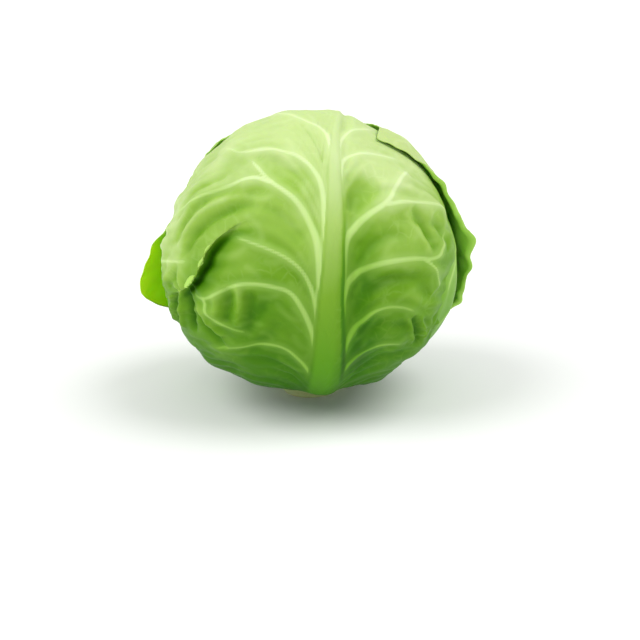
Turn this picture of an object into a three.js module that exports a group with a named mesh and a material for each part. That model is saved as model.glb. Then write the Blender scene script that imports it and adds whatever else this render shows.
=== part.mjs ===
// A cabbage head: a cut stalk, a heart of tightly packed leaves, and nine separate leaves wrapped round it.
// Units are millimetres, +Z is up. The origin is the centre of the stalk's cut face, on which it stands.
// The front of the head, where the widest clean leaf faces, is -Y, and azimuths turn from it towards +X.
import * as THREE from "three";
import { mergeVertices } from "three/addons/utils/BufferGeometryUtils.js";

// Driving dimensions.
const HEAD_RADIUS = 88; // from the head's axis to the inside of the outermost leaf, at the widest level
const CROWN_RISE = 87; // from the widest level up to the crown
const WAIST_HEIGHT = 80; // height of the widest level above the cut face
const BASE_CLEARANCE = 5; // the lowest leaf blades clear the ground by this much
const BLADE = 1; // leaf blade thickness
const RIB = { onStalk: 3.4, onBlade: 2.6 }; // how far an outer leaf's rib stands out of its blade
const COVERED_RIB = { onStalk: 2.2, onBlade: 0.4 }; // the same for a leaf that another one presses flat
const RIB_AT_STALK = 11; // half the rib's width there
const RIB_AT_TIP = 5;
const RIB_THINS_BY = 0.85; // share of its thickness that the rib has lost at the tip
const STALK_RADIUS = 16;
const STALK_TOP = 27;
const STALK_EDGE = 1.2; // the cut's rim is worn back by this much
const LEAF_GAP = 2.25; // from the inside of one leaf to the inside of the one that it lies on
const NODE_STEP = 2.2; // each leaf grows from the stalk this much higher than the last
const HEART_CLEARANCE = 1.1; // air between the heart and the leaf that lies on it
const CONTACT_GAP = 0.5; // between the heart and the top of the stalk

// Between these angles up from straight down, a leaf climbs from its place on the stalk to the head's
// surface.
const STALK_ANGLE = THREE.MathUtils.degToRad(12);
const SURFACE_ANGLE = THREE.MathUtils.degToRad(38);

// Angles up from straight down, in radians, between which the rib comes to its thickness on the blade,
// narrows, and thins out towards the tip.
const RIB_SETTLES = [0.3, 0.95];
const COVERED_RIB_SETTLES = [0.3, 0.6];
const RIB_NARROWS = [0.3, 2.2];
const RIB_THINS = [1.6, 2.7];

// Past a leaf's margin, in shares of its reach, the leaf below rises to take its place between these two.
const MARGIN_START = 1.08;
const MARGIN_END = 1.36;

// Grid of one leaf: columns across it, closest together at the rib, and rows along it.
const COLUMNS = 18;
const ROWS = 18;
const CROWDING = 1.2;

// Each leaf, from the outermost inwards, which is also their order up the stalk. azimuth is the rib's, in
// degrees. left, right, up and down are the blade's reach from its middle, in millimetres over the head.
// squareness fills out the upper corners of the outline, shoulder is how much further up the upper left one
// reaches, and drawnIn is how much less far out the lower right margin reaches, both as shares. loose
// describes a margin that stands away from the head: its side is -1 for the leaf's left and +1 for its
// right, it lifts by lift and reaches out by reach, and span gives where it begins and ends along the leaf,
// from -1 at the stalk to +1 at the tip.
const LEAVES = [
  { name: "wrapper_leaf_left", azimuth: 228, left: 104, right: 38, up: 78, down: 124, squareness: 0.1,
    loose: { side: 1, lift: 11, reach: 16, span: [-0.62, 0.42] } },
  { name: "wrapper_leaf_right", azimuth: 146, left: 84, right: 96, up: 84, down: 124, squareness: 0.06,
    shoulder: 0.8, loose: { side: -1, lift: 6, reach: 0, span: [-0.85, 0.8] } },
  { name: "wrapper_leaf_front", azimuth: 7, left: 138, right: 122, up: 168, down: 124, squareness: 0.14,
    drawnIn: 0.34 },
  { name: "second_leaf_left", azimuth: 282, left: 112, right: 104, up: 134, down: 124, squareness: 0.1 },
  { name: "second_leaf_right", azimuth: 60, left: 104, right: 112, up: 138, down: 124, squareness: 0.1 },
  { name: "second_leaf_back", azimuth: 197, left: 112, right: 108, up: 136, down: 124, squareness: 0.1 },
  { name: "third_leaf_front", azimuth: 335, left: 108, right: 108, up: 136, down: 124, squareness: 0.1 },
  { name: "third_leaf_right", azimuth: 112, left: 108, right: 108, up: 138, down: 124, squareness: 0.1 },
  { name: "third_leaf_back", azimuth: 250, left: 108, right: 108, up: 134, down: 124, squareness: 0.1 },
];
const LEAVES_A_TURN = 3;

// A lower margin that is drawn in is so fully up to the first of these, along the leaf from -1 to +1, and
// keeps its whole reach from the second.
const DRAWN_IN_ALONG = [-0.2, 0.55];

const LOOSENS_OVER = 0.35; // share of a leaf's half length over which a loose margin comes away
const LOOSE_FROM = 0.5; // and the share of its reach across at which it starts to
const MIDDLE = 142; // from the bottom of the head, over its surface, to a leaf's middle

const LEAF_COLOURS = [0x6fa62e, 0x9dc75a, 0xbcd982]; // turn by turn: the outer leaves are the greenest
const HEART_COLOUR = 0xd5e6a0;
const STALK_COLOUR = 0xe4e8c4;

const smooth = THREE.MathUtils.smoothstep;

// Unit vector from the head's centre at an azimuth and an angle up from straight down.
function bearing(azimuth, rise) {
  return new THREE.Vector3(
    Math.sin(rise) * Math.sin(azimuth),
    -Math.sin(rise) * Math.cos(azimuth),
    -Math.cos(rise),
  );
}

function riseOf(d) {
  return Math.acos(THREE.MathUtils.clamp(-d.z, -1, 1));
}

// The head isn't a perfect ball: slow swells, the same for every leaf, in millimetres.
function swell(d) {
  return 1.3 * Math.sin(2.6 * d.x + 1.9 * d.z + 0.6) + 1.0 * Math.cos(3.1 * d.y - 2.2 * d.x + 0.4);
}

// A point on the head in direction d, height millimetres outside the outermost leaf's inner surface.
function onHead(d, height) {
  const vertical = d.z > 0 ? CROWN_RISE : WAIST_HEIGHT - BASE_CLEARANCE;
  const normal = new THREE.Vector3(d.x / HEAD_RADIUS, d.y / HEAD_RADIUS, d.z / vertical).normalize();
  const aboveBase = 1 + d.z;
  return new THREE.Vector3(HEAD_RADIUS * d.x, HEAD_RADIUS * d.y, vertical * d.z)
    .addScaledVector(normal, height + swell(d) * smooth(aboveBase, 0.05, 0.5))
    .add(new THREE.Vector3(0, 0, WAIST_HEIGHT));
}

// The middle of a leaf, and the directions across and along it there.
function leafAxes(leaf) {
  const azimuth = THREE.MathUtils.degToRad(leaf.azimuth);
  const rise = MIDDLE / HEAD_RADIUS;
  return {
    middle: bearing(azimuth, rise),
    sideways: bearing(azimuth + Math.PI / 2, Math.PI / 2),
    upwards: bearing(azimuth, rise + Math.PI / 2),
  };
}

// Direction of the point that lies across and along the head's surface from a leaf's middle.
function leafDirection(leaf, across, along) {
  const { middle, sideways, upwards } = leafAxes(leaf);
  const angle = Math.hypot(across, along) / HEAD_RADIUS;
  const spread = angle < 1e-9 ? 1 : Math.sin(angle) / angle;
  return middle
    .multiplyScalar(Math.cos(angle))
    .addScaledVector(sideways, (across / HEAD_RADIUS) * spread)
    .addScaledVector(upwards, (along / HEAD_RADIUS) * spread)
    .normalize();
}

// How far a leaf's blade reaches out and along at a point of the leaf's square, which runs from -1 to +1
// across the leaf and along it.
function reachOf(leaf, u, v) {
  const shoulder = 1 + (leaf.shoulder ?? 0) * Math.min(u, 0) ** 2;
  const drawn = 1 - smooth(v, ...DRAWN_IN_ALONG);
  const keptOut = u > 0 ? 1 - (leaf.drawnIn ?? 0) * drawn : 1;
  return {
    out: (u < 0 ? leaf.left : leaf.right) * keptOut,
    along: v > 0 ? leaf.up * shoulder : leaf.down,
  };
}

// How much of a leaf lies over direction d: 1 on its blade, falling to 0 past its margin.
function coverage(leaf, d) {
  const { middle, sideways, upwards } = leafAxes(leaf);
  const angle = Math.acos(THREE.MathUtils.clamp(middle.dot(d), -1, 1));
  const spread = angle < 1e-9 ? 1 : angle / Math.sin(angle);
  const across = HEAD_RADIUS * spread * sideways.dot(d);
  const along = HEAD_RADIUS * spread * upwards.dot(d);
  const upper = along > 0;
  const corner = Math.sqrt(0.5 + (upper ? leaf.squareness : 0));
  const power = Math.log(2) / -Math.log(corner);
  const u = THREE.MathUtils.clamp(across / (across < 0 ? leaf.left : leaf.right), -1, 1);
  const v = THREE.MathUtils.clamp(along / (upper ? leaf.up : leaf.down), -1, 1);
  const reach = reachOf(leaf, u, v);
  const x = Math.abs(across) / reach.out;
  const y = Math.abs(along) / reach.along;
  return 1 - smooth((x ** power + y ** power) ** (1 / power), MARGIN_START, MARGIN_END);
}

// Height of the order-th leaf's inside. On the stalk each leaf sits a step above the last, and over the head
// it lies under as many leaves as cover it there.
function layerHeight(order, d) {
  const above = LEAVES.slice(0, order).reduce((sum, leaf) => sum + coverage(leaf, d), 0);
  const climb = smooth(riseOf(d), STALK_ANGLE, SURFACE_ANGLE);
  return -THREE.MathUtils.lerp(order * NODE_STEP, above * LEAF_GAP, climb);
}

// The rib stands out of the blade: broad and thick at the stalk, thin at the tip, and pressed flat where
// another leaf covers it.
function ribHeight(order, across, rise) {
  const covered = order >= LEAVES_A_TURN;
  const rib = covered ? COVERED_RIB : RIB;
  const settled = smooth(rise, ...(covered ? COVERED_RIB_SETTLES : RIB_SETTLES));
  const thickness = THREE.MathUtils.lerp(rib.onStalk, rib.onBlade, settled);
  const width = THREE.MathUtils.lerp(RIB_AT_STALK, RIB_AT_TIP, smooth(rise, ...RIB_NARROWS));
  const left = 1 - RIB_THINS_BY * smooth(rise, ...RIB_THINS);
  return thickness * left * Math.exp(-((across / width) ** 2));
}

// How loose the margin is at a point of the leaf's square, from 0 to 1.
function looseness(loose, u, v) {
  if (!loose) return 0;
  const [start, end] = loose.span;
  const alongMargin = smooth(v, start, start + LOOSENS_OVER) * (1 - smooth(v, end - LOOSENS_OVER, end));
  return smooth(u * loose.side, LOOSE_FROM, 1) * alongMargin;
}

// One leaf: a thin closed box whose faces are bent round the head.
function leafMesh(leaf, order) {
  const geometry = new THREE.BoxGeometry(2, 2, 2, COLUMNS, ROWS, 1);
  const position = geometry.getAttribute("position");
  const corner = new THREE.Vector3();
  for (let i = 0; i < position.count; i++) {
    corner.fromBufferAttribute(position, i);
    const u = Math.sign(corner.x) * Math.abs(corner.x) ** CROWDING;
    const v = corner.y;
    const roundness = 0.5 - (v > 0 ? leaf.squareness : 0);
    const away = looseness(leaf.loose, u, v);
    const reach = reachOf(leaf, u, v);
    const further = away * (leaf.loose ? leaf.loose.reach : 0);
    const across = u * Math.sqrt(1 - roundness * v ** 2) * (reach.out + further);
    const along = v * Math.sqrt(1 - roundness * u ** 2) * reach.along;
    const d = leafDirection(leaf, across, along);
    const lift = away * (leaf.loose ? leaf.loose.lift : 0);
    const outside = corner.z > 0 ? BLADE + ribHeight(order, across, riseOf(d)) : 0;
    const point = onHead(d, layerHeight(order, d) + lift + outside);
    position.setXYZ(i, point.x, point.y, point.z);
  }
  return piece(leaf.name, geometry, LEAF_COLOURS[Math.floor(order / LEAVES_A_TURN)], 0.5);
}

// A mesh whose corners are merged, so that it is one closed surface.
function piece(name, geometry, color, roughness) {
  geometry.deleteAttribute("normal");
  geometry.deleteAttribute("uv");
  const merged = mergeVertices(geometry, 1e-4);
  merged.computeVertexNormals();
  const mesh = new THREE.Mesh(merged, new THREE.MeshStandardMaterial({ color, roughness, metalness: 0 }));
  mesh.name = name;
  return mesh;
}

// The heart: the ball of inner leaves that the outer ones are wrapped round, as one solid. It fills the
// space that the separate leaves leave, and is flat only where it sits on the stalk.
function heartMesh() {
  const geometry = new THREE.SphereGeometry(1, 36, 24);
  geometry.rotateX(Math.PI / 2);
  const position = geometry.getAttribute("position");
  const d = new THREE.Vector3();
  for (let i = 0; i < position.count; i++) {
    d.fromBufferAttribute(position, i).normalize();
    const point = onHead(d, layerHeight(LEAVES.length, d) - HEART_CLEARANCE);
    position.setXYZ(i, point.x, point.y, Math.max(point.z, STALK_TOP + CONTACT_GAP));
  }
  return piece("heart", geometry, HEART_COLOUR, 0.55);
}

// The cut stalk: a stub with a flat face at the bottom, a little wider where the leaves join it.
function stalkMesh() {
  const profile = [
    [0, 0],
    [STALK_RADIUS - STALK_EDGE, 0],
    [STALK_RADIUS, STALK_EDGE],
    [STALK_RADIUS + 0.6, STALK_TOP * 0.35],
    [STALK_RADIUS - 0.5, STALK_TOP * 0.75],
    [STALK_RADIUS - 2, STALK_TOP],
    [0, STALK_TOP],
  ].map(([radius, height]) => new THREE.Vector2(radius, height));
  const geometry = new THREE.LatheGeometry(profile, 32);
  geometry.rotateX(Math.PI / 2);
  return piece("stalk", geometry, STALK_COLOUR, 0.7);
}

const cabbage = new THREE.Group();
cabbage.add(stalkMesh(), heartMesh(), ...LEAVES.map(leafMesh));

export default cabbage;
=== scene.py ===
"""The looks of a cabbage head: nine leaves with their ribs, veins, folds and margins, the heart they are
wrapped round, and the cut stalk that it stands on. Lengths are in millimetres until a mesh is written, and
every finished mesh is in metres, in the frame of the CAD part."""
import math

import bpy
import numpy as np
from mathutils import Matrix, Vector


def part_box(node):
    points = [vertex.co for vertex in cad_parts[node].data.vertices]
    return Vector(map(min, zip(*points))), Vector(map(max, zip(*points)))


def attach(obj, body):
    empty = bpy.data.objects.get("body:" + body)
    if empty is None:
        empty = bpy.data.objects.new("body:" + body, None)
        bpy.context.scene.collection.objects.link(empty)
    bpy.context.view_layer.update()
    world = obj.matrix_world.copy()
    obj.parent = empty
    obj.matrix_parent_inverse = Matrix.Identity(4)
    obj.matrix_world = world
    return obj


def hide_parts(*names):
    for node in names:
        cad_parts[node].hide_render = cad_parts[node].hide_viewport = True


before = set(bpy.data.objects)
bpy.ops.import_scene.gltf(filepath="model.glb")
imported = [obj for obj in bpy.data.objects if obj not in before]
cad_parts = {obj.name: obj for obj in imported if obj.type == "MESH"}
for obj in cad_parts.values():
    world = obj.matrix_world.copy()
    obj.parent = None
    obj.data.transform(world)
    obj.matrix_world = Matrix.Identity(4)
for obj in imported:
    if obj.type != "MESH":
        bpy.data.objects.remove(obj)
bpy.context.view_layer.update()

MM = 0.001

# ---------------------------------------------------------------- driving dimensions, those of the CAD part
HEAD_RADIUS = 88.0      # from the axis to the inside of the outermost leaf, at the widest level
CROWN_RISE = 87.0       # from the widest level up to the crown
WAIST_HEIGHT = 80.0     # height of the widest level above the cut face
BASE_CLEARANCE = 5.0
LEAF_GAP = 2.25         # from the inside of one leaf to the inside of the one that it lies on
NODE_STEP = 2.2         # each leaf grows from the stalk this much higher than the last
STALK_ANGLE = math.radians(12)
SURFACE_ANGLE = math.radians(38)
MARGIN_START = 1.08
MARGIN_END = 1.36
MIDDLE = 142.0          # from the bottom of the head, over its surface, to a leaf's middle

BLADE = 0.8             # thickness of a leaf's blade
MARGIN_BLADE = 0.45     # and at its margin, where it thins out
LEAVES_A_TURN = 3       # the outer turn shows, and the two turns under it are pressed flat

# Each leaf from the outermost inwards: the azimuth of its rib in degrees, and its reach from its middle.
# squareness fills out its upper corners, shoulder is how much further up the upper left one reaches, and
# drawn_in is how much less far out the lower right margin reaches, all as shares.
LEAVES = [
    dict(name="wrapper_leaf_left", azimuth=228, left=104, right=38, up=78, down=124, squareness=0.10),
    dict(name="wrapper_leaf_right", azimuth=146, left=84, right=96, up=84, down=124, squareness=0.06,
         shoulder=0.8),
    dict(name="wrapper_leaf_front", azimuth=7, left=138, right=122, up=168, down=124, squareness=0.14,
         drawn_in=0.34),
    dict(name="second_leaf_left", azimuth=282, left=112, right=104, up=134, down=124, squareness=0.10),
    dict(name="second_leaf_right", azimuth=60, left=104, right=112, up=138, down=124, squareness=0.10),
    dict(name="second_leaf_back", azimuth=197, left=112, right=108, up=136, down=124, squareness=0.10),
    dict(name="third_leaf_front", azimuth=335, left=108, right=108, up=136, down=124, squareness=0.10),
    dict(name="third_leaf_right", azimuth=112, left=108, right=108, up=138, down=124, squareness=0.10),
    dict(name="third_leaf_back", azimuth=250, left=108, right=108, up=134, down=124, squareness=0.10),
]
LEFT_WRAPPER, RIGHT_WRAPPER, FRONT = 0, 1, 2
DRAWN_IN_ALONG = (-0.2, 0.55)   # a margin is drawn in fully up to the first, and not at all past the second

# Grid of one leaf, across and along. The outer turn is fine enough for its folds, and the rest lie covered.
FINE_GRID = (200, 215)
COVERED_GRID = (96, 104)


# ---------------------------------------------------------------- the head's surface
def smooth(x, low, high):
    t = np.clip((x - low) / (high - low), 0.0, 1.0)
    return t * t * (3 - 2 * t)


def bell(x, width):
    return np.exp(-((x / width) ** 2))


def bearing(azimuth, rise):
    """Unit vector at an azimuth and an angle up from straight down."""
    out = math.sin(rise)
    return np.array([out * math.sin(azimuth), -out * math.cos(azimuth), -math.cos(rise)])


def leaf_axes(leaf):
    """The middle of a leaf, and the directions across and along it there."""
    azimuth = math.radians(leaf["azimuth"])
    rise = MIDDLE / HEAD_RADIUS
    sideways = bearing(azimuth + math.pi / 2, math.pi / 2)
    return bearing(azimuth, rise), sideways, bearing(azimuth, rise + math.pi / 2)


def leaf_direction(leaf, across, along):
    """Directions of the points that lie across and along the head's surface from a leaf's middle."""
    middle, sideways, upwards = leaf_axes(leaf)
    angle = np.hypot(across, along) / HEAD_RADIUS
    spread = np.sinc(angle / math.pi) / HEAD_RADIUS
    d = np.outer(np.cos(angle), middle) + np.outer(across * spread, sideways)
    d = d + np.outer(along * spread, upwards)
    return d / np.linalg.norm(d, axis=1, keepdims=True)


def leaf_place(leaf, d):
    """The way back: how far directions d lie across and along the surface from a leaf's middle."""
    middle, sideways, upwards = leaf_axes(leaf)
    angle = np.arccos(np.clip(d @ middle, -1, 1))
    reach = HEAD_RADIUS / np.maximum(np.sinc(angle / math.pi), 1e-6)
    return reach * (d @ sideways), reach * (d @ upwards)


def reach_of(leaf, u, v):
    """How far the blade reaches out and along at points of the leaf's square, which runs from -1 to +1."""
    shoulder = 1 + leaf.get("shoulder", 0) * np.minimum(u, 0) ** 2
    kept_out = np.where(u > 0, 1 - leaf.get("drawn_in", 0) * (1 - smooth(v, *DRAWN_IN_ALONG)), 1.0)
    out = np.where(u < 0, leaf["left"], leaf["right"]) * kept_out
    return out, np.where(v > 0, leaf["up"] * shoulder, leaf["down"])


def outline_share(leaf, across, along):
    """How far out a point is towards the leaf's margin, which is at 1."""
    upper = along > 0
    power = math.log(2) / -np.log(np.sqrt(0.5 + np.where(upper, leaf["squareness"], 0.0)))
    u = np.clip(across / np.where(across < 0, leaf["left"], leaf["right"]), -1, 1)
    v = np.clip(along / np.where(upper, leaf["up"], leaf["down"]), -1, 1)
    out, up = reach_of(leaf, u, v)
    return ((np.abs(across) / out) ** power + (np.abs(along) / up) ** power) ** (1 / power)


def coverage(leaf, d):
    """How much of a leaf lies over directions d: 1 on its blade, falling to 0 past its margin."""
    return 1 - smooth(outline_share(leaf, *leaf_place(leaf, d)), MARGIN_START, MARGIN_END)


def layer_height(order, d):
    """Height of the order-th leaf's inside, from a step on the stalk to its place under those above it."""
    above = sum((coverage(leaf, d) for leaf in LEAVES[:order]), np.zeros(len(d)))
    climb = smooth(np.arccos(np.clip(-d[:, 2], -1, 1)), STALK_ANGLE, SURFACE_ANGLE)
    return -(order * NODE_STEP * (1 - climb) + above * LEAF_GAP * climb)


UPPER_LEFT = (-0.71, -0.13, 0.69)       # the direction that it lies in
FLATTER_THERE = 2.8
FLATTER_CROWN = 1.0


def swell(d):
    """The head isn't a perfect ball: slow swells, the same for every leaf. It is flatter at its upper left
    and at the crown."""
    x, y, z = d.T
    flatter = FLATTER_THERE * bell(np.linalg.norm(d - UPPER_LEFT, axis=1), 0.48)
    flatter = flatter + FLATTER_CROWN * bell(np.hypot(x, y), 0.5) * (z > 0)
    return 1.3 * np.sin(2.6 * x + 1.9 * z + 0.6) + 1.0 * np.cos(3.1 * y - 2.2 * x + 0.4) - flatter


def on_head(d, height):
    """Points on the head in directions d, height millimetres outside the outermost leaf's inner surface."""
    level = np.full(len(d), HEAD_RADIUS)
    vertical = np.where(d[:, 2] > 0, CROWN_RISE, WAIST_HEIGHT - BASE_CLEARANCE)
    radii = np.stack([level, level, vertical], axis=1)
    normal = d / radii
    normal /= np.linalg.norm(normal, axis=1, keepdims=True)
    lift = height + swell(d) * smooth(1 + d[:, 2], 0.05, 0.5)
    return radii * d + (0, 0, WAIST_HEIGHT) + normal * lift[:, None]


# ---------------------------------------------------------------- lines on a leaf: ribs, veins and wrinkles
def curve_through(points, steps=9):
    """A smooth line through a few points."""
    p = np.array([points[0], *points, points[-1]], float)
    t = np.linspace(0, 1, steps, endpoint=False)[:, None]
    parts = [
        0.5 * (2 * b + (c - a) * t + (2 * a - 5 * b + 4 * c - e) * t**2 + (3 * b - a - 3 * c + e) * t**3)
        for a, b, c, e in zip(p, p[1:], p[2:], p[3:])
    ]
    return np.vstack([*parts, p[-1:]])


def from_line(line, s, t, reach):
    """How each point lies to a line: the distance from it, positive on its left, the share of its length
    passed there, and the direction to its left, across and along."""
    away = np.full(len(s), 1e3)
    share = np.zeros(len(s))
    left = np.zeros((2, len(s)))
    low, high = line.min(0) - reach, line.max(0) + reach
    near = np.flatnonzero((s > low[0]) & (s < high[0]) & (t > low[1]) & (t < high[1]))
    if not len(near):
        return away, share, left
    q = np.stack([s[near], t[near]], axis=1)
    best = away[near]
    passed = share[near]
    sign = np.ones(len(near))
    normal = left[:, near]
    for i, (a, b) in enumerate(zip(line, line[1:])):
        ab = b - a
        k = np.clip(((q - a) @ ab) / max(ab @ ab, 1e-9), 0, 1)
        off = q - a - k[:, None] * ab
        length = np.hypot(off[:, 0], off[:, 1])
        closer = length < best
        best = np.where(closer, length, best)
        passed = np.where(closer, (i + k) / (len(line) - 1), passed)
        sign = np.where(closer, np.where(ab[0] * off[:, 1] - ab[1] * off[:, 0] < 0, -1.0, 1.0), sign)
        out = np.array([-ab[1], ab[0]]) / max(np.hypot(*ab), 1e-9)
        normal = np.where(closer, out[:, None], normal)
    away[near], share[near], left[:, near] = best * sign, passed, normal
    return away, share, left


def vein(points, width, height):
    """A vein's line, half its width and how far it stands out where it begins. Both fall towards its tip."""
    return dict(line=curve_through(points), width=width, height=height)


FINE_VEIN = 0.8         # half the width of the smallest veins, along which the blade isn't drawn up


def side_veins(parent, rng, step=12.0, length=17.0):
    """Small veins that leave a vein on both sides in turn, and lean the way that it runs."""
    line = parent["line"]
    lengths = np.concatenate([[0], np.cumsum(np.hypot(*np.diff(line, axis=0).T))])
    made = []
    for k, at in enumerate(np.arange(step, lengths[-1] - 4, step)):
        at += rng.uniform(-3, 3)
        i = min(int(np.searchsorted(lengths, at)), len(line) - 1)
        ahead = line[i] - line[i - 1]
        ahead = ahead / max(np.hypot(*ahead), 1e-6)
        out = np.array([-ahead[1], ahead[0]]) * (1 if k % 2 else -1)
        run = length * rng.uniform(0.65, 1.3)
        bend = line[i] + run * (0.45 * out + 0.28 * ahead)
        tip = line[i] + run * (0.72 * out + 0.85 * ahead)
        made.append(vein([line[i], bend, tip], FINE_VEIN, 0.12))
    return made


def front_veins():
    """The front leaf's rib and its main veins. The rib leans a little to the right as it nears the crown."""
    rib = [(0, -124), (0, -60), (0, -8), (2, 20), (5, 52), (8, 80), (15, 106), (30, 142), (36, 164)]
    main = [
        ([(7, 70), (6, 86), (4, 98), (-5, 108), (-24, 127), (-44, 142)], 1.6),
        ([(-2, 4), (-2, 36), (-2, 57), (-6, 70), (-14, 79), (-26, 84), (-49, 86), (-66, 96), (-86, 104)],
         1.7),
        ([(-3, -34), (-5, 0), (-6, 26), (-10, 40), (-17, 52), (-30, 63), (-40, 75), (-49, 86)], 2.1),
        ([(-30, 63), (-41, 66), (-60, 63), (-84, 57), (-118, 46)], 1.6),
        ([(-5, -46), (-7, -10), (-11, 8), (-18, 18), (-30, 25), (-46, 30), (-60, 32)], 1.5),
        ([(-6, -62), (-9, -24), (-18, 0), (-31, 6), (-47, 6), (-58, 1), (-71, -7), (-80, -6), (-88, 0)],
         1.6),
        ([(-71, -7), (-68, -17), (-56, -24), (-44, -28)], 1.5),
        ([(-128, 8), (-105, 13), (-84, 17)], 1.5),
        ([(9, 64), (11, 82), (17, 95), (31, 106), (62, 118)], 1.5),
        ([(8, 56), (13, 76), (24, 82), (44, 84), (66, 84)], 1.1),
        ([(5, -6), (8, 26), (14, 36), (23, 43), (37, 51), (47, 62), (57, 70), (80, 82)], 2.1),
        ([(36, 49), (54, 50), (80, 48), (104, 44)], 1.5),
        ([(5, -40), (7, 0), (12, 11), (20, 15), (34, 17), (50, 17), (65, 15), (74, 18), (84, 29), (96, 46)],
         1.9),
        ([(57, 16), (67, 8), (74, -6)], 1.3),
        ([(6, -66), (10, -26), (20, -12), (31, -9), (44, -12), (58, -21)], 1.6),
        ([(4, -84), (12, -48), (28, -36), (50, -42)], 1.5),
        ([(-4, -84), (-12, -50), (-28, -34), (-52, -40), (-78, -52)], 1.5),
    ]
    return rib, [vein(points, width, 0.7) for points, width in main]


def pinnate_veins(leaf, rng):
    """A covered or rear leaf's rib, with main veins that leave it in turn and fork towards the margin."""
    lean = rng.uniform(-9, 9)
    rib = [(0, -leaf["down"]), (0, -20), (lean * 0.4, 40), (lean, leaf["up"] * 0.9)]
    main = []
    for k in range(9):
        side = -1 if k % 2 else 1
        start = -62 + 17 * k + rng.uniform(-4, 4)
        reach = leaf["left"] if side < 0 else leaf["right"]
        climb = rng.uniform(42, 60) * (1 - 0.05 * k)
        narrowing = math.sqrt(max(0.08, 1 - ((start + climb) / 150) ** 2))
        out = side * reach * rng.uniform(0.72, 0.88) * narrowing
        turn = (0.42 * out, start + 0.72 * climb)
        bend = (0.1 * out, start + 0.36 * climb)
        main.append(vein([(0, start - 22), bend, turn, (out, start + climb)], 1.8, 0.55))
        fork = [turn, (0.7 * out, start + 0.62 * climb), (0.98 * out, start + 0.5 * climb)]
        main.append(vein(fork, 1.3, 0.4))
    return rib, main


# ---------------------------------------------------------------- relief of the leaves
def ripple(angle, seed, slowest, fastest):
    """A wandering value between about -1 and 1 round a leaf's margin, with so many waves in a turn."""
    rng = np.random.default_rng(seed)
    counts = np.unique(np.linspace(slowest, fastest, 7).astype(int))
    return sum(np.sin(n * angle + rng.uniform(0, 6.28)) for n in counts) / math.sqrt(len(counts))


def field(s, t, seed, size=24.0):
    """A wandering value between about -1 and 1 over a leaf, with lumps of about the given size."""
    rng = np.random.default_rng(seed)
    total = np.zeros(len(s))
    for _ in range(9):
        heading = rng.uniform(0, math.pi)
        pitch = 2 * math.pi / (size * rng.uniform(0.6, 1.8))
        total += np.sin(pitch * (s * math.cos(heading) + t * math.sin(heading)) + rng.uniform(0, 6.28))
    return total / 3


def grain_of_blade(s, t, seed):
    """Long shallow folds that follow the side veins out from the rib."""
    out = np.abs(s)
    across_veins = t - 60 * (1 - np.exp(-out / 14)) + 0.25 * np.maximum(out - 35, 0)
    return field(across_veins * 2.6, out * 0.55, seed, 26.0)


NARROWEST_VEIN = 1.35   # half the width of the narrowest vein that the grid shows smoothly
TENT = 2.9              # how high the blade is drawn up along its main veins
COVERED_TENT = 0.3
TENT_WIDTH = 9.0


def vein_relief(veins, s, t, tent):
    """Height of the veins themselves, how many half-widths each point is from the nearest one, and the blade
    drawn up to them in a ridge that is gentle from above and steep from below."""
    height = np.zeros(len(s))
    nearness = np.full(len(s), 4.0)
    crest = np.zeros(len(s))
    for v in veins:
        away, share, left = from_line(v["line"], s, t, TENT_WIDTH * 3.4)
        distance = np.abs(away)
        taper = 1 - 0.55 * share
        half = v["width"] * (0.5 + 0.5 * taper)
        end = smooth(share, 0.84, 1.0)
        slight = 1.1 * (v["width"] <= FINE_VEIN)
        blunt = np.sqrt(distance**2 + 1.1**2)
        apart = blunt / np.maximum(half, NARROWEST_VEIN) + 1.2 * end + 0.5 * (1 - taper) + slight
        nearness = np.minimum(nearness, apart)
        height = np.maximum(height, v["height"] * taper * (1 - end) * bell(distance, half + 1.5))
        slope = TENT_WIDTH * (1 + 0.42 * np.sign(away) * left[1])
        rounded = np.sqrt(distance**2 + 2.4**2) - 2.4
        drawn_up = min(1.0, v["width"] / 1.6) * (v["width"] > FINE_VEIN)
        share_of_tent = taper * (1 - end) * smooth(share, 0.0, 0.25) * drawn_up
        crest += (tent * share_of_tent * np.exp(-rounded / slope)) ** 4
    return height, nearness, crest ** 0.25


def wrinkle(s, t, points, depth, width):
    """One soft wrinkle along a line, fading at both ends. Depth below 0 is a furrow."""
    away, share, _ = from_line(curve_through(points), s, t, width * 3)
    return depth * bell(away, width) * np.sqrt(np.clip(4 * share * (1 - share), 0, 1))


# The crease in the front leaf's left half, from its fine end near the rib to the knot where it is gathered.
CREASE = [(-33, 43), (-44, 41), (-53, 38), (-62, 32), (-68, 25), (-73, 16), (-79, 7), (-87, -1),
          (-98, -9), (-111, -19), (-124, -32)]
KNOT = (-88.0, -2.0)
PLEATS = (70.0, -36.0)      # where the margin is gathered at the lower right
SLIP = 7.5                  # how far the blade has slid over itself at the crease
SLIP_RISE = 5.2             # and how high the blade on top stands there
WRINKLES_DEEPENED = 1.25    # every wrinkle is this many times as deep as it is listed

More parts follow.
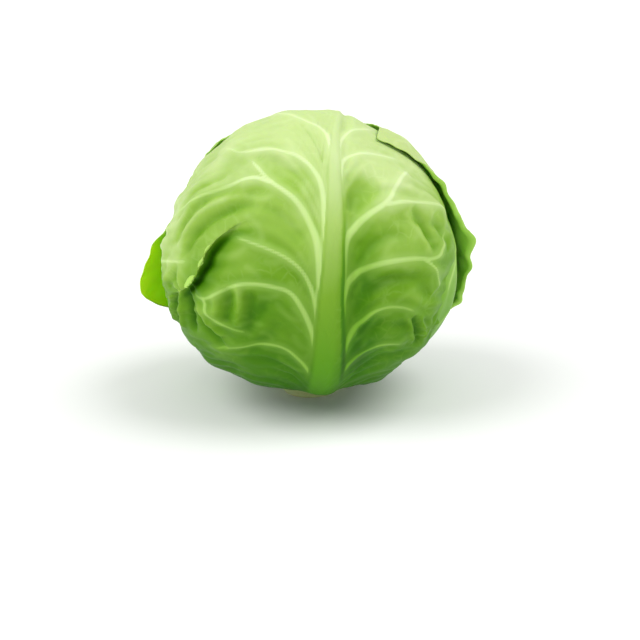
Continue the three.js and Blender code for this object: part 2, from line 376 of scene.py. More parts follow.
# Wrinkles of the front leaf: the line of each, its height or depth, and half its width.
WRINKLES = [
    ([(-40, 52), (-60, 48), (-78, 36), (-92, 18)], -2.0, 2.6),
    ([(-44, 57), (-66, 53), (-84, 41), (-97, 24)], 1.5, 2.2),
    ([(-48, 62), (-70, 58), (-90, 45), (-104, 28)], -2.0, 3.0),
    ([(-60, 70), (-84, 64), (-106, 44)], -1.0, 3.6),
    ([(-96, 14), (-99, 4), (-107, -6)], -1.5, 2.6),
    ([(-104, 16), (-107, 4), (-116, -8)], 1.2, 2.6),
    ([(-55, 3), (-56, -7), (-58, -20)], -2.6, 2.9),
    ([(-49, 6), (-49, -6), (-51, -22)], 1.7, 2.2),
    ([(-43, 3), (-43, -8), (-45, -22)], -1.6, 2.8),
    ([(-63, -1), (-63, -10), (-64, -19)], 1.2, 2.0),
    ([(-34, -2), (-40, -14), (-50, -30)], -1.6, 3.4),
    ([(-26, -16), (-34, -28), (-48, -44)], -1.3, 4.0),
    ([(-84, -8), (-86, -20), (-86, -40)], -4.2, 2.4),
    ([(-91, -6), (-95, -20), (-98, -44)], 2.4, 2.6),
    ([(-98, -10), (-102, -24), (-104, -46)], -2.2, 2.2),
    ([(-104, -14), (-110, -30), (-112, -50)], 1.6, 2.6),
    ([(-76, -10), (-72, -24), (-62, -34)], 1.8, 2.6),
    ([(-78, -18), (-72, -32), (-60, -44)], -2.2, 3.0),
    ([(12, 46), (20, 57), (34, 62)], -1.9, 6.0),
    ([(30, 35), (46, 40), (58, 36)], -1.2, 5.0),
    ([(55, 47), (62, 37), (70, 20)], -2.0, 3.2),
    ([(48, 44), (56, 33), (63, 18)], 1.3, 3.0),
    ([(74, 42), (80, 32), (84, 18)], -1.4, 3.4),
    ([(16, 4), (34, 7), (52, 4), (64, -8)], -2.2, 4.6),
    ([(22, -2), (40, -2), (56, -10)], 0.9, 3.0),
    ([(14, -22), (30, -20), (48, -26)], -1.6, 4.4),
    ([(46, -20), (50, -30), (54, -44)], 1.3, 1.8),
    ([(51, -20), (55, -31), (60, -44)], -2.2, 2.0),
    ([(57, -22), (61, -32), (66, -44)], 1.4, 1.8),
    ([(14, 24), (28, 30), (46, 32)], -1.0, 4.4),
    ([(-14, 30), (-22, 40), (-34, 50)], -0.8, 5.0),
    ([(-12, 60), (-24, 72), (-40, 78)], -0.8, 5.0),
]


def fold_over(s, t, points, slip, rise):
    """The blade on the right of a crease has slid over the blade on its left. Gives the height of each
    point, how far it slides across and along, how much painted shadow darkens its colour in the slot under
    the fold, and how near the fold."""
    away, share, left = from_line(curve_through(points), s, t, 40)
    past_knot = (1 - 0.75 * smooth(share, 0.68, 0.8)) * (1 - smooth(share, 0.85, 1.0))
    strength = smooth(share, 0.0, 0.4) * past_knot
    flap = -away
    near = np.exp(-np.abs(flap) / 9)
    slide = slip * strength * np.tanh(flap / 2.4) * near
    over = 0.5 + 0.5 * np.tanh(flap / 2.0)
    height = rise * strength * over * np.exp(-np.maximum(flap, 0) / 13)
    hollow = -2.4 * strength * bell(flap + 5.0, 4.0)
    # Painted shadow: how much the colour is darkened in the slot under the overhanging blade
    slot = strength * (bell(flap + 6.0, 2.2) + 0.35 * bell(flap + 10.0, 4.0))
    return height + hollow, slide * left[0], slide * left[1], slot, strength * bell(flap, 11)


def gathers(s, t, centre, arms, reach, height):
    """Pleats that run in to one point."""
    x, y = s - centre[0], t - centre[1]
    radius = np.hypot(x, y)
    angle = np.arctan2(y, x)
    folds = np.cos(arms * angle + 1.4 * np.sin(2 * angle) + radius * 0.05)
    return height * folds * np.exp(-radius / reach) * smooth(radius, 1.5, 8.0)


def front_relief(s, t):
    """Folds, wrinkles and gathers of the front leaf, without its veins, how far they slide each point, how
    much painted shade darkens the colour there, in the crease's slot and the furrows, with painted light on
    the ridges, and how much further the leaves under it have to give way."""
    height, slide_s, slide_t, slot, folded = fold_over(s, t, CREASE, SLIP, SLIP_RISE)
    creased = 0.5 * grain_of_blade(s, t, 8) * (1 - smooth(t, 85, 125))
    for points, depth, width in WRINKLES:
        creased = creased + wrinkle(s, t, points, WRINKLES_DEEPENED * depth, width)
    creased = creased + gathers(s, t, KNOT, 6, 10.0, 2.0)
    creased = creased + gathers(s, t, PLEATS, 7, 12.0, 0.9)
    height = height + creased + 0.7 * field(s, t, 3, 46) + 0.22 * field(s, t, 5, 17)
    # The colour is darkened by the slot's painted shadow and by painted shade in the furrows, with painted
    # light on the ridges
    return height, slide_s, slide_t, 0.8 * slot - 0.07 * creased, 0.4 + 1.6 * folded


def press_from_front(order, d):
    """Where the front leaf dips, the leaves under it give way."""
    if order <= FRONT:
        return np.zeros(len(d))
    s, t = leaf_place(LEAVES[FRONT], d)
    inside = 1 - smooth(outline_share(LEAVES[FRONT], s, t), 0.96, 1.1)
    height, _, _, _, room = front_relief(s, t)
    return (np.minimum(height, 0.0) - room) * inside


# ---------------------------------------------------------------- the shape of one leaf
def rib_rise(order, away, rise):
    """Height of the rib and its half-width. It is broad and thick at the stalk and thin at the tip, it is
    flat where another leaf covers it, and it drops off sharply on its right."""
    covered = order >= LEAVES_A_TURN
    root, blade = (1.9, 0.35) if covered else (3.2, 2.3)
    thickness = root + (blade - root) * smooth(rise, 0.3, 0.6 if covered else 0.95)
    half = (10.2 - 5.8 * smooth(rise, 0.3, 2.2)) * (1 - 0.5 * smooth(rise, 2.0, 2.8))
    x = -away / half
    profile = 1 / (1 + np.abs(x) ** np.where(x > 0, 5.5, 3.2)) * (0.82 + 0.18 * np.clip(x, -1, 1))
    return thickness * (1 - 0.8 * smooth(rise, 1.6, 2.9)) * profile, half


TONGUE_LIFT = 16.0      # how far the left leaf's free tongue stands off the head
TONGUE_REACH = 25.0     # and how much further it reaches
LIP_LIFT = 2.5
RUFFLE_LIFT = 5.0
RUFFLE_REACH = 3.0
LIP_DRAWN_IN = 3.0      # how much less far the right leaf reaches low down
LIP_RADIUS = 1.9        # of the roll that its margin makes
LIP_TURN = 2.0          # and how far round it goes, in radians


def loose_margin(order, u, v):
    """How far a loose margin stands off and how much further it reaches: the left leaf's tongue, and the
    right leaf's curled lip with its ruffle."""
    if order == LEFT_WRAPPER:
        window = smooth(v, -0.62, -0.26) * (1 - smooth(v, -0.34, 0.42))
        away = smooth(u, 0.35, 1.0) * window
        return TONGUE_LIFT * away, TONGUE_REACH * away
    if order == RIGHT_WRAPPER:
        window = smooth(v, -0.6, -0.25) * (1 - smooth(v, -0.1, 0.5))
        away = smooth(-u, 0.62, 1.0) * window
        ruffle = (bell(v - 0.08, 0.07) + 0.6 * bell(v + 0.09, 0.06)) * smooth(-u, 0.84, 1.0)
        drawn_in = LIP_DRAWN_IN * smooth(-v, 0.3, 0.7) * smooth(-u, 0.5, 1.0)
        return LIP_LIFT * away + RUFFLE_LIFT * ruffle, RUFFLE_REACH * ruffle - drawn_in
    return np.zeros(len(u)), np.zeros(len(u))


def rolled_lip(order, u, v, edge, angle):
    """The right leaf's margin rolls outwards. Gives the height and the shift across of each point."""
    if order != RIGHT_WRAPPER:
        return np.zeros(len(u)), np.zeros(len(u))
    strength = smooth(v, -0.7, -0.4) * (1 - smooth(v, 0.5, 0.78)) * (u < 0)
    rolled = 4.2 + 1.0 * ripple(angle, 43, 6, 16)
    length = np.clip(rolled - edge, 0, None)
    turn = np.minimum(length / LIP_RADIUS, LIP_TURN)
    return strength * LIP_RADIUS * (1 - np.cos(turn)), strength * (length - LIP_RADIUS * np.sin(turn))


def rib_paleness(x, rise):
    """How much of the pale rib's own colour shows at x half-widths to the left of its middle. Its right
    flank is less pale, painted shade on the side turned from the light, and it merges into the blade at the
    tip."""
    body = smooth(x, -1.12, -0.9) * (1 - smooth(x, 0.8, 1.15))
    flank = 1 - 0.7 * smooth(-x, 0.15, 0.75) * (1 - smooth(rise, 1.9, 2.3))
    return body * flank * (1 - 0.6 * smooth(rise, 2.4, 3.1))


def painted_shade_beside_rib(x, rise):
    """Painted shade: deeper green along the rib's right flank, where its shadow falls, and in the blade's
    hollow beside it. x is how far to the left of the flank a point is."""
    hollow = 0.36 * bell(x + 9, 11) * (x < 1) + 0.3 * bell(x + 0.6, 1.5)
    return hollow * smooth(rise, 0.7, 1.1) * (1 - smooth(rise, 1.7, 2.3))


GREENEST = 0.25         # a blade's shade low down, where its deeper green is painted shade: what is below it is painted shade in folds, hollows and furrows


def paleness_and_painted_light(points):
    """How pale the blade is: 0 low down, where it is greenest, and 1 at the crown. The paler crown is partly
    the leaf's own tone and partly painted light from above, and the green low down is painted shade. The
    head's upper right and its left flank are the palest, and that is painted light."""
    x, _, z = points.T
    painted_light_upper_right = 0.003 * np.maximum(x, 0) * smooth(z, 100, 145)
    painted_light_left_flank = 0.24 * smooth(-x, 55, 82) * smooth(z, 50, 95)
    return np.clip((z - 15) / 150 + painted_light_upper_right + painted_light_left_flank, -0.2, 1.2)


def leaf_shape(order, u, v):
    """Outer surface of a finished leaf at the grid's points, how thick the leaf is there, what its finish
    needs to know, and where each point is across and along."""
    leaf = LEAVES[order]
    covered = order >= LEAVES_A_TURN
    rng = np.random.default_rng(100 + order)
    roundness = 0.5 - np.where(v > 0, leaf["squareness"], 0.0)
    reach_across, reach_along = reach_of(leaf, u, v)
    edge = np.minimum((1 - np.abs(u)) * reach_across, (1 - np.abs(v)) * reach_along)
    angle = np.arctan2(v, u)
    lift, further = loose_margin(order, u, v)
    calm = smooth(v, -0.98, -0.8) * (1 - 0.8 * smooth(v, 0.6, 0.9))
    calm = calm * (1 - 0.85 * smooth(np.abs(u * v), 0.45, 0.8))
    outer_ring = smooth(-edge, -24, 0) * calm
    notch = 1.3 * ripple(angle, 7 + order, 9, 44) * outer_ring
    across = u * np.sqrt(1 - roundness * v**2) * (reach_across + further + notch)
    along = v * np.sqrt(1 - roundness * u**2) * (reach_along + notch)

    rib, main = front_veins() if order == FRONT else pinnate_veins(leaf, rng)
    fine = [] if covered else [small for parent in main for small in side_veins(parent, rng)]
    tent = COVERED_TENT if covered else TENT
    height, nearness, crest = vein_relief(main + fine, across, along, tent)
    from_rib, _, _ = from_line(curve_through(rib), across, along, 70)
    d = leaf_direction(leaf, across, along)
    rise = np.arccos(np.clip(-d[:, 2], -1, 1))
    rib_top, rib_half = rib_rise(order, from_rib, rise)
    relief = (crest + 0.3 * tent * np.exp(-np.abs(from_rib) / 16)) * smooth(rise, 0.3, 0.8)
    slide_s = slide_t = np.zeros(len(u))
    clear_of_rib = smooth(np.abs(from_rib) / rib_half, 0.9, 2.4)
    # Painted light and shade in the colour: paler on the ridges drawn up to the veins, and on the front leaf
    # darker in the fold's slot, the furrows and beside the rib
    painted_shade_and_light = -0.02 * crest
    if order == FRONT:
        folds, slide_s, slide_t, painted_shade_in_folds, _ = front_relief(across, along)
        relief = relief + folds * (0.25 + 0.75 * clear_of_rib)
        relief = relief - 1.7 * bell(from_rib + rib_half + 3.5, 4.0) * smooth(rise, 1.1, 1.6)
        painted_shade_and_light = painted_shade_and_light + painted_shade_in_folds * clear_of_rib + painted_shade_beside_rib(from_rib + rib_half, rise)
    elif covered:
        relief = relief + 0.12 * field(across, along, 20 + order, 40)
    else:
        relief = relief + 0.5 + 0.5 * field(across, along, 20 + order, 40)
        relief = relief + 0.3 * grain_of_blade(across, along, order)
    crinkle = (0.2 if covered else 0.55) * ripple(angle, 60 + order, 14, 52) * outer_ring
    free = 1 - 0.85 * np.max([coverage(above, d) for above in LEAVES[:order]], axis=0) if order else 1.0
    relief = (relief + crinkle) * smooth(rise, 0.22, 0.5) * free + press_from_front(order, d)
    rolled, shift = rolled_lip(order, u, v, edge, angle)

    blade = MARGIN_BLADE + (BLADE - MARGIN_BLADE) * smooth(edge, 0, 14)
    thickness = blade + np.maximum(height, rib_top)
    moved = leaf_direction(leaf, across + slide_s + shift, along + slide_t)
    points = on_head(moved, layer_height(order, d) + relief + lift + rolled + thickness)
    nearness = nearness + 3 * (1 - smooth(np.abs(from_rib) / rib_half, 0.9, 1.3))
    # The tone that the colour ramps read: painted light and shade over the leaf's own paler crown
    shade = GREENEST + (1 - GREENEST) * (paleness_and_painted_light(points) - painted_shade_and_light)
    # How far the left leaf's tongue stands free: it sets both its real subsurface light and its painted
    # backlit glow
    thin = np.clip(lift / 9, 0, 1) if order == LEFT_WRAPPER else np.zeros(len(u))
    finish = dict(vein=nearness, rib=rib_paleness(from_rib / rib_half, rise), shade=shade, loose=thin)
    return points, thickness, finish, np.stack([across, along], axis=1)


def deselect():
    bpy.ops.object.select_all(action="DESELECT")


def read_points(mesh):
    flat = np.empty(len(mesh.vertices) * 3)
    mesh.vertices.foreach_get("co", flat)
    return flat.reshape(-1, 3)


def write_points(mesh, millimetres):
    mesh.vertices.foreach_set("co", (millimetres * MM).ravel())
    mesh.update()


def write_attribute(mesh, name, values):
    attribute = mesh.attributes.new(name, "FLOAT", "POINT")
    attribute.data.foreach_set("value", values.astype(np.float32))


THICKEST = 5.0          # no leaf is thicker than this, and the vertex group holds each point's share of it
SHARP = math.radians(75)    # faces that meet at less than this are shaded as one smooth surface
FRONT_CROWDING = 1.12   # above 1 the grid is closer along the rib, and below 1 along the side margins
CROWDING = 0.88


def make_leaf(order):
    """A grid is bent round the head, raised into its ribs, veins and folds, and given its thickness."""
    deselect()
    columns, rows = COVERED_GRID if order >= LEAVES_A_TURN else FINE_GRID
    bpy.ops.mesh.primitive_grid_add(x_subdivisions=columns, y_subdivisions=rows, size=2)
    leaf = bpy.context.object
    leaf.name = LEAVES[order]["name"] + "_grown"
    mesh = leaf.data
    mesh.name = leaf.name
    u, v, _ = np.clip(read_points(mesh), -1, 1).T
    u = np.sign(u) * np.abs(u) ** (FRONT_CROWDING if order == FRONT else CROWDING)
    points, thickness, finish, places = leaf_shape(order, u, v)
    write_points(mesh, points)
    group = leaf.vertex_groups.new(name="thickness")
    for index, share in enumerate((thickness / THICKEST).tolist()):
        group.add((index,), share, "REPLACE")
    slab = leaf.modifiers.new("blade", "SOLIDIFY")
    slab.thickness = THICKEST * MM
    slab.offset = -1
    slab.vertex_group = group.name
    bpy.ops.object.modifier_apply(modifier=slab.name)
    leaf.vertex_groups.clear()
    for name, values in finish.items():
        write_attribute(mesh, name, np.tile(values, 2))
    write_attribute(mesh, "inner", np.repeat([0.0, 1.0], len(u)))
    corners = np.empty(len(mesh.loops), int)
    mesh.loops.foreach_get("vertex_index", corners)
    uv = np.tile(places, (2, 1))[corners] * MM
    mesh.uv_layers[0].data.foreach_set("uv", uv.astype(np.float32).ravel())
    bpy.ops.object.shade_smooth_by_angle(angle=SHARP)
    return leaf


# ---------------------------------------------------------------- the heart and the stalk
HEART_SEGMENTS = 160
HEART_RINGS = 110
HEART_LEAVES = 3        # that show their margins round it
HEART_GAP = 1.3         # from the heart to the third leaves


def make_heart():
    """The ball of inner leaves, with the margins of its outermost ones wound round it."""
    deselect()
    bpy.ops.mesh.primitive_uv_sphere_add(segments=HEART_SEGMENTS, ring_count=HEART_RINGS, radius=1)
    heart = bpy.context.object
    heart.name = "heart_grown"
    mesh = heart.data
    d = read_points(mesh)
    d = d / np.linalg.norm(d, axis=1, keepdims=True)
    azimuth = np.arctan2(d[:, 0], -d[:, 1])
    rise = np.arccos(np.clip(-d[:, 2], -1, 1))
    winding = azimuth * HEART_LEAVES / (2 * math.pi) + 0.55 * np.sin(rise * 1.4)
    step = np.mod(winding, 1.0)
    overlap = -0.9 * step ** 3 + 0.2 * np.sin(9 * azimuth + 4 * rise)
    height = layer_height(len(LEAVES), d) - HEART_GAP + overlap * smooth(rise, 0.5, 1.0)
    points = on_head(d, height + press_from_front(len(LEAVES), d))
    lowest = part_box("heart")[0].z / MM
    points[:, 2] = np.maximum(points[:, 2], lowest)
    write_points(mesh, points)
    write_attribute(mesh, "vein", 1 + 8 * np.abs(step - 0.5))
    # The heart's tone carries the same painted light and shade as the leaves
    write_attribute(mesh, "shade", GREENEST + (1 - GREENEST) * paleness_and_painted_light(points))
    bpy.ops.object.shade_smooth()
    return heart


STALK_SIDES = 128
STALK_WORN = 1.2        # how far the rim of the cut is worn round
STALK_RINGS = 30
CUT_RINGS = 10          # that the cut is divided into
CUT_RING = 1.35         # how wide each of them is
SCARS_ROUND = 3         # lines of leaf scars that wind up round the stalk side by side
SCAR_PITCH = 7.0        # from one line up to the next


def make_stalk():
    """The stub of stem. The cut is a disc, inset in rings, and its rim is drawn up in steps and closed over.
    The scars of the leaves that were stripped off it run round its side."""
    low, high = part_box("stalk")
    radius = (high.x - low.x) / 2 / MM - 0.6
    top = high.z / MM
    deselect()
    flat = radius - STALK_WORN
    bpy.ops.mesh.primitive_circle_add(vertices=STALK_SIDES, radius=flat * MM, fill_type="NGON")
    stalk = bpy.context.object
    stalk.name = "stalk_cut"
    bpy.ops.object.mode_set(mode="EDIT")
    bpy.ops.mesh.select_mode(type="FACE")
    bpy.ops.mesh.select_all(action="SELECT")
    for _ in range(CUT_RINGS):
        bpy.ops.mesh.inset(thickness=CUT_RING * MM)
    bpy.ops.mesh.poke()
    bpy.ops.mesh.select_mode(type="EDGE")
    bpy.ops.mesh.select_all(action="DESELECT")
    bpy.ops.mesh.select_non_manifold()
    turn = [i / 4 * math.pi / 2 for i in range(1, 5)]
    rim = [(flat + STALK_WORN * math.sin(a), STALK_WORN - STALK_WORN * math.cos(a)) for a in turn]
    steps = [(i + 1) / STALK_RINGS for i in range(STALK_RINGS)]
    widths = [radius + 0.3 * math.sin(math.pi * h) - 2 * h**3 for h in steps]
    side = [(wide, STALK_WORN + h * (top - STALK_WORN)) for wide, h in zip(widths, steps)]
    was, level = flat, 0.0
    for wide, high_up in rim + side:
        bpy.ops.mesh.extrude_edges_move(TRANSFORM_OT_translate={"value": (0, 0, (high_up - level) * MM)})
        bpy.ops.transform.resize(value=(wide / was, wide / was, 1), center_override=(0, 0, high_up * MM))
        was, level = wide, high_up
    bpy.ops.mesh.edge_face_add()
    bpy.ops.mesh.select_mode(type="FACE")
    bpy.ops.mesh.inset(thickness=3 * MM)
    bpy.ops.mesh.poke()
    bpy.ops.mesh.select_all(action="SELECT")
    bpy.ops.mesh.normals_make_consistent(inside=False)
    bpy.ops.object.mode_set(mode="OBJECT")
    points = read_points(stalk.data) / MM
    x, y, z = points.T
    angle = np.arctan2(y, x)
    out = np.hypot(x, y)
    spiral = np.mod(z / SCAR_PITCH + angle / (2 * math.pi) * SCARS_ROUND, 1.0)
    scar = 0.55 * bell(spiral - 0.5, 0.16) - 0.35
    fibres = 0.10 * np.sin(37 * angle + 1.3 * np.sin(0.8 * z))
    outer = smooth(out, radius - 3, radius - 1) * smooth(z, 1.0, 3.0) * (1 - smooth(z, 9.0, 13.0))
    stretch = 1 + outer * (scar + fibres) / np.maximum(out, 1)
    write_points(stalk.data, np.stack([x * stretch, y * stretch, z], axis=1))
    bpy.ops.object.shade_smooth_by_angle(angle=math.radians(40))
    return stalk


# ---------------------------------------------------------------- finishes
def linear(colour):
    """An sRGB hex colour as linear red, green, blue and full alpha."""
    channels = [int(colour[i:i + 2], 16) / 255 for i in (1, 3, 5)]
    return (*[c / 12.92 if c <= 0.04045 else ((c + 0.055) / 1.055) ** 2.4 for c in channels], 1.0)


def node(tree, kind, inputs=None, stops=(), **settings):
    """Adds a node with its settings, and gives each input its value or the output that feeds it. Stops are a
    colour ramp's, as (position, hex colour)."""
    made = tree.nodes.new(kind)
    for name, value in settings.items():
        setattr(made, name, value)
    for place, (position, colour) in enumerate(stops):
        if place >= len(made.color_ramp.elements):
            made.color_ramp.elements.new(position)
        made.color_ramp.elements[place].position = position
        made.color_ramp.elements[place].color = linear(colour)
    for name, value in (inputs or {}).items():
        if isinstance(value, bpy.types.NodeSocket):
            tree.links.new(value, made.inputs[name])
        else:
            made.inputs[name].default_value = value
    return made


def fresh_material(name):
    material = bpy.data.materials.new(name)
    material.use_nodes = True
    tree = material.node_tree
    return material, tree, tree.nodes["Principled BSDF"]


FACTOR, FIRST, SECOND, MIXED = 0, 6, 7, 2     # sockets of a Mix node that mixes colours
# Positions on the colour ramps: low on a ramp is deeper green, painted shade low down and in folds; high is
# paler, the crown's own tone with painted light
SHADES = (0.0, 0.25, 0.4, 0.625, 0.82, 1.0)
VEIN_COLOURS = ["#5a9416", "#7cb52c", "#96c44c", "#b2d674", "#cbe696", "#e2f2bc"]
RIB_COLOURS = ["#3c7404", "#4a8806", "#5a9610", "#7aa82c", "#a4c465", "#c5da98"]


def leaf_tissue(name, blade_colours, inner_colour):
    """Living leaf tissue under a thin bloom of wax: satin, slightly see-through, with pale veins. The
    blade's colours run from the deepest green, painted shade in folds and low down, to the palest, at the
    crown, which is partly its own tone and partly painted light."""
    material, tree, shader = fresh_material(name)
    place = node(tree, "ShaderNodeTexCoord")
    blade = place.outputs["UV"]
    solid = place.outputs["Object"]
    grown = node(tree, "ShaderNodeAttribute", attribute_name="shade").outputs["Fac"]
    drift = node(tree, "ShaderNodeTexNoise", {"Vector": solid, "Scale": 26.0, "Detail": 3.0})
    wander = node(tree, "ShaderNodeMapRange", {"Value": drift.outputs[0], "To Min": -0.18, "To Max": 0.18})
    shade = node(tree, "ShaderNodeMath", {0: grown, 1: wander.outputs[0]}, operation="ADD")
    tint = node(tree, "ShaderNodeValToRGB", {"Fac": shade.outputs[0]}, list(zip(SHADES, blade_colours)))
    vein_tint = node(tree, "ShaderNodeValToRGB", {"Fac": grown}, list(zip(SHADES, VEIN_COLOURS)))
    rib_tint = node(tree, "ShaderNodeValToRGB", {"Fac": grown}, list(zip(SHADES, RIB_COLOURS)))

    # Side veins are palest along their middle and blur into the blade beside them.
    way = node(tree, "ShaderNodeAttribute", attribute_name="vein").outputs["Fac"]
    core = node(tree, "ShaderNodeMapRange", {"Value": way, "From Min": 0.75, "From Max": 1.75, "To Min": 0.8,
                                             "To Max": 0.0}, interpolation_type="SMOOTHSTEP")
    blur = node(tree, "ShaderNodeMapRange", {"Value": way, "From Min": 0.6, "From Max": 4.0, "To Min": 0.22,
                                             "To Max": 0.0}, interpolation_type="SMOOTHSTEP")
    line = node(tree, "ShaderNodeMath", {0: core.outputs[0], 1: blur.outputs[0]}, operation="MAXIMUM")

    # The net of small veins closes in cells of about 7 mm, bent out of line and strong only here and there.
    bend = node(tree, "ShaderNodeTexNoise", {"Vector": blade, "Scale": 120.0, "Detail": 2.0})
    bent = node(tree, "ShaderNodeVectorMath", {0: bend.outputs["Color"], 1: (0.006, 0.006, 0), 2: blade},
                operation="MULTIPLY_ADD")
    net = node(tree, "ShaderNodeTexVoronoi", {"Vector": bent.outputs[0], "Scale": 140.0},
               feature="DISTANCE_TO_EDGE")
    thread = node(tree, "ShaderNodeMapRange", {"Value": net.outputs[0], "From Max": 0.12, "To Min": 1,
                                               "To Max": 0})
    patch = node(tree, "ShaderNodeTexNoise", {"Vector": blade, "Scale": 45.0})
    here = node(tree, "ShaderNodeMapRange", {"Value": patch.outputs[0], "From Min": 0.45, "From Max": 0.7,
                                             "To Max": 0.16})
    faint = node(tree, "ShaderNodeMath", {0: thread.outputs[0], 1: here.outputs[0]}, operation="MULTIPLY")
    pale = node(tree, "ShaderNodeMath", {0: line.outputs[0], 1: faint.outputs[0]}, operation="MAXIMUM")
    netted = node(tree, "ShaderNodeMix", {FACTOR: pale.outputs[0], FIRST: tint.outputs[0],
                                          SECOND: vein_tint.outputs[0]}, data_type="RGBA")
    rib = node(tree, "ShaderNodeAttribute", attribute_name="rib")
    veined = node(tree, "ShaderNodeMix", {FACTOR: rib.outputs["Fac"], FIRST: netted.outputs[MIXED],
                                          SECOND: rib_tint.outputs[0]}, data_type="RGBA")
    inner = node(tree, "ShaderNodeAttribute", attribute_name="inner")
    within = node(tree, "ShaderNodeMapRange", {"Value": inner.outputs["Fac"], "To Max": 0.85})
    lined = node(tree, "ShaderNodeMix", {FACTOR: within.outputs[0], FIRST: veined.outputs[MIXED],
                                         SECOND: linear(inner_colour)}, data_type="RGBA")

    # A margin that stands free is thin and lets light through: real subsurface light, and a bright
    # yellow-green mixed into its colour, most on its inner side, that is a painted backlit glow.
    loose = node(tree, "ShaderNodeAttribute", attribute_name="loose")
    sunny = node(tree, "ShaderNodeMapRange", {"Value": inner.outputs["Fac"], "To Min": 0.25, "To Max": 0.85})
    thin = node(tree, "ShaderNodeMath", {0: loose.outputs["Fac"], 1: sunny.outputs[0]}, operation="MULTIPLY")
    lit = node(tree, "ShaderNodeMix", {FACTOR: thin.outputs[0], FIRST: lined.outputs[MIXED],
                                       SECOND: linear("#cdf224")}, data_type="RGBA")
    tree.links.new(lit.outputs[MIXED], shader.inputs["Base Color"])
    through = node(tree, "ShaderNodeMapRange", {"Value": thin.outputs[0], "To Min": 0.15, "To Max": 0.95})
    tree.links.new(through.outputs[0], shader.inputs["Subsurface Weight"])

    # Wax shows as a slow change in gloss, and the skin as a soft grain of 0.6 to 5 mm.
    bloom = node(tree, "ShaderNodeTexNoise", {"Vector": solid, "Scale": 60.0, "Detail": 4.0})
    gloss = node(tree, "ShaderNodeMapRange", {"Value": bloom.outputs[0], "To Min": 0.36, "To Max": 0.54})
    tree.links.new(gloss.outputs[0], shader.inputs["Roughness"])
    grain = node(tree, "ShaderNodeTexNoise", {"Vector": solid, "Scale": 1600.0, "Detail": 2.0})
    soft = node(tree, "ShaderNodeTexNoise", {"Vector": solid, "Scale": 190.0, "Detail": 3.0})
    lumps = node(tree, "ShaderNodeMath", {0: grain.outputs[0], 1: 0.14, 2: soft.outputs[0]},
                 operation="MULTIPLY_ADD")
    skin = node(tree, "ShaderNodeMath", {0: pale.outputs[0], 1: 0.5, 2: lumps.outputs[0]},
                operation="MULTIPLY_ADD")
    bump = node(tree, "ShaderNodeBump", {"Strength": 0.35, "Distance": 0.0005, "Height": skin.outputs[0]})
    tree.links.new(bump.outputs[0], shader.inputs["Normal"])
    shader.inputs["IOR"].default_value = 1.4
    shader.inputs["Specular IOR Level"].default_value = 0.16
    shader.inputs["Subsurface Radius"].default_value = (0.6, 1.0, 0.1)
    shader.inputs["Subsurface Scale"].default_value = 0.0025
    return material


STEM_RADIUS = 0.0166    # in metres, where the rind's colour is reached


def cut_stem():
    """Raw cabbage stem: cream pith in a ring of woody fibres under a green rind, with browned specks."""
    material, tree, shader = fresh_material("cut_cabbage_stem")
    solid = node(tree, "ShaderNodeTexCoord").outputs["Object"]
    parts = node(tree, "ShaderNodeSeparateXYZ", {"Vector": solid})
    flat = node(tree, "ShaderNodeCombineXYZ", {"X": parts.outputs["X"], "Y": parts.outputs["Y"]})
    out = node(tree, "ShaderNodeVectorMath", {0: flat.outputs[0]}, operation="LENGTH")
    share = node(tree, "ShaderNodeMapRange", {"Value": out.outputs["Value"], "From Max": STEM_RADIUS})
    pith_to_rind = [(0, "#eef0d2"), (0.55, "#e3e6bd"), (0.72, "#c9cf94"), (0.82, "#e0e3b4"), (1, "#b9c583")]
    tint = node(tree, "ShaderNodeValToRGB", {"Fac": share.outputs[0]}, pith_to_rind)
    fibre = node(tree, "ShaderNodeTexNoise", {"Vector": solid, "Scale": 900.0, "Detail": 3.0})
    specks = node(tree, "ShaderNodeMapRange",
                  {"Value": fibre.outputs[0], "From Min": 0.58, "From Max": 0.75, "To Max": 0.35})
    browned = node(tree, "ShaderNodeMix", {FACTOR: specks.outputs[0], FIRST: tint.outputs[0],
                                           SECOND: linear("#a8935a")}, data_type="RGBA")
    tree.links.new(browned.outputs[MIXED], shader.inputs["Base Color"])
    bump = node(tree, "ShaderNodeBump", {"Strength": 0.4, "Distance": 0.0004, "Height": fibre.outputs[0]})
    tree.links.new(bump.outputs[0], shader.inputs["Normal"])
    shader.inputs["Roughness"].default_value = 0.62
    shader.inputs["IOR"].default_value = 1.42
    shader.inputs["Subsurface Weight"].default_value = 0.15
    shader.inputs["Subsurface Scale"].default_value = 0.002
    return material


def plain(name, colour, roughness):
    """One even colour, for the floor's paint."""
    material, _, shader = fresh_material(name)
    shader.inputs["Base Color"].default_value = linear(colour)
    shader.inputs["Roughness"].default_value = roughness
    return material


# ---------------------------------------------------------------- stage
LENS = 85                   # focal length, in millimetres
ELEVATION = math.radians(15)
DISTANCE = 0.89             # in metres, as the next three are
AIM_RIGHT = 0.006
AIM_BELOW = 0.0347
FLOOR_SIZE = 14
SUN_SIZE = math.radians(45)
SUNS = [("left", 1.55, (-1.0, -0.3, 1.05)), ("right", 1.5, (0.9, -0.05, 1.3))]  # strength, and where from
SKY = 0.6                   # strength of the white light from all round


def aim(thing, position, target):
    """Puts a camera or a light at a place, with its top up and its front towards the target."""
    thing.location = position
    direction = np.array(target, float) - np.array(position, float)
    yaw = math.atan2(direction[1], direction[0]) - math.pi / 2
    pitch = math.atan2(direction[2], math.hypot(direction[0], direction[1]))
    thing.rotation_euler = (math.pi / 2 + pitch, 0, yaw)


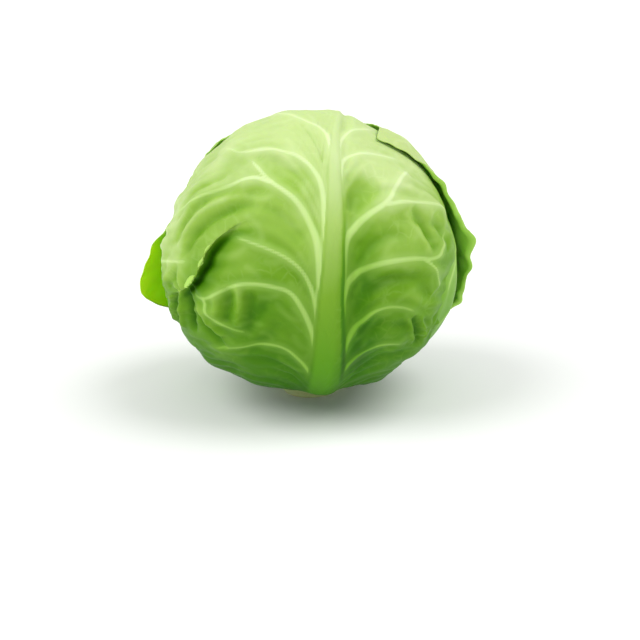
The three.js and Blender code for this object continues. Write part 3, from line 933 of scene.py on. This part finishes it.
def set_stage():
    """A camera a little above the head, a pale floor, and soft light from above on both sides."""
    scene = bpy.context.scene
    centre = np.array([0.0, 0.0, WAIST_HEIGHT * MM])
    camera = bpy.data.objects.new("camera", bpy.data.cameras.new("camera"))
    scene.collection.objects.link(camera)
    camera.data.lens = LENS
    eye = centre + DISTANCE * np.array([0, -math.cos(ELEVATION), math.sin(ELEVATION)])
    above = np.array([0, math.sin(ELEVATION), math.cos(ELEVATION)])
    aim(camera, eye, centre + np.array([AIM_RIGHT, 0, 0]) - AIM_BELOW * above)
    scene.camera = camera

    deselect()
    bpy.ops.mesh.primitive_plane_add(size=FLOOR_SIZE)
    floor = bpy.context.object
    floor.name = "floor"
    floor.data.materials.append(plain("matt_white_paint", "#f4f5f4", 0.9))

    for name, energy, place in SUNS:
        sun = bpy.data.objects.new(name, bpy.data.lights.new(name, "SUN"))
        sun.data.energy = energy
        sun.data.angle = SUN_SIZE
        scene.collection.objects.link(sun)
        aim(sun, place, (0, 0, 0))
    world = bpy.data.worlds.new("studio")
    world.use_nodes = True
    sky = world.node_tree.nodes["Background"]
    sky.inputs["Color"].default_value = (1, 1, 1, 1)
    sky.inputs["Strength"].default_value = SKY
    scene.world = world
    scene.view_settings.view_transform = "Standard"


# ---------------------------------------------------------------- the head
def dress(piece, cad_node, material):
    """Gives a finished piece its material and the body that it belongs to, and hides the CAD solid that it
    stands for.
    """
    piece.data.materials.clear()
    piece.data.materials.append(material)
    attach(piece, "root")
    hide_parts(cad_node)


set_stage()
# Each ramp runs from the deepest green, painted shade in folds and low down, to the palest, the crown with
# painted light
GREEN_LEAF = leaf_tissue(
    "green_wrapper_leaf", ["#1c4800", "#387401", "#4a8406", "#6c9f1c", "#95bb4c", "#bbd382"], "#b4e068")
FRONT_LEAF = leaf_tissue(
    "front_wrapper_leaf", ["#1c4800", "#366f00", "#487e04", "#6a9a1c", "#94ba4b", "#bed68a"], "#b4e068")
SECOND_LEAF = leaf_tissue(
    "second_leaf", ["#2a5a02", "#4a860c", "#5c9618", "#80b034", "#b0d26c", "#d0e69a"], "#9cc65c")
THIRD_LEAF = leaf_tissue(
    "third_leaf", ["#86ac48", "#a6c868", "#b0d070", "#c3dc8b", "#d4e6a4", "#e2efb9"], "#c2dc8c")
HEART_LEAF = leaf_tissue(
    "heart_leaf", ["#b8cc7c", "#cfdf96", "#d4e29c", "#dbe8a8", "#e2ecb8", "#eaf2c8"], "#dbe8a8")
FINISHES = {"wrapper": ("wrapper_leaf", GREEN_LEAF), "second": ("second_leaf", SECOND_LEAF),
            "third": ("third_leaf", THIRD_LEAF)}
for number, grown in enumerate(LEAVES):
    slot_name, finish = FINISHES[grown["name"].split("_")[0]]
    if number == FRONT:
        slot_name, finish = "front_leaf", FRONT_LEAF
    dress(make_leaf(number), grown["name"], finish)
dress(make_heart(), "heart", HEART_LEAF)
dress(make_stalk(), "stalk", cut_stem())
